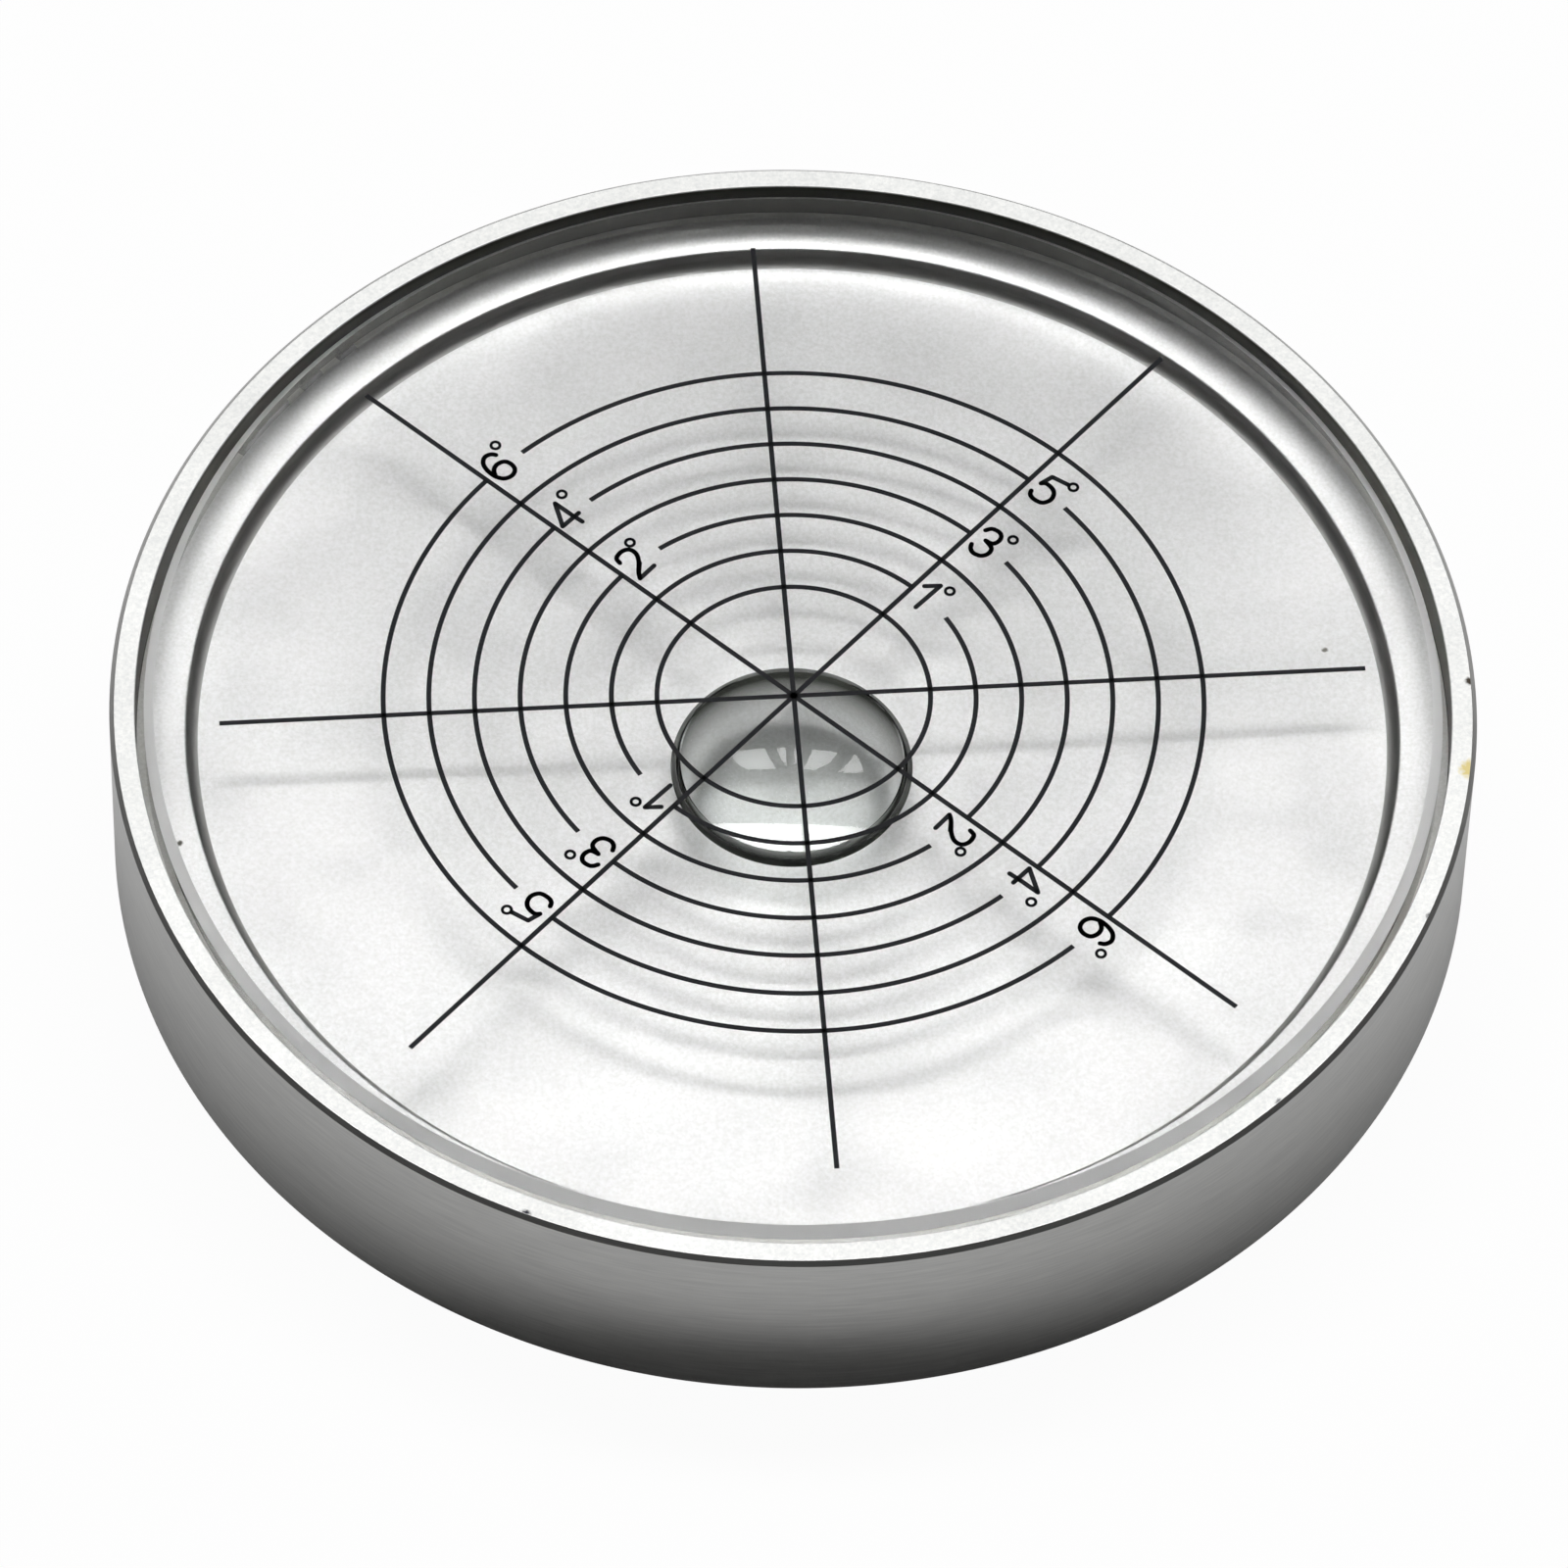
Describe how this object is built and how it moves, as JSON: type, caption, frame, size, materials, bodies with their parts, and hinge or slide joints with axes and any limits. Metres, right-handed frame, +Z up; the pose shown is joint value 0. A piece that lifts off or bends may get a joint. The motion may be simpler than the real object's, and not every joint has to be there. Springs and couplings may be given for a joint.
{
  "type": "bullseye level",
  "caption": "Round bullseye level: a flat metal case under a clear window printed with degree rings and spokes, and a bubble in clear liquid.",
  "frame": {"origin": "centre of the case's base, on the surface it rests on", "axes": "+Z up along the case's axis, out of the window; X and Y along the printed spokes, with the numerals between them"},
  "size_m": [0.06, 0.06, 0.0102],
  "materials": {
    "anodised_aluminium": "bead-blasted and clear anodised, satin on the outer wall",
    "clear_acrylic": "polished clear acrylic",
    "clear_glue": "clear cured glue",
    "clear_spirit": "clear liquid with a smooth bubble surface",
    "black_ink": "thin screen-printed ink",
    "ball_steel": "polished bearing steel",
    "sealing_resin": "cured black resin"
  },
  "bodies": {
    "root": {"case": "anodised_aluminium", "window": "clear_acrylic", "window_adhesive": "clear_glue", "spirit_fill": "clear_spirit", "graticule": "black_ink", "filler_ball": "ball_steel", "filler_resin": "sealing_resin"}
  },
  "joints": []
}
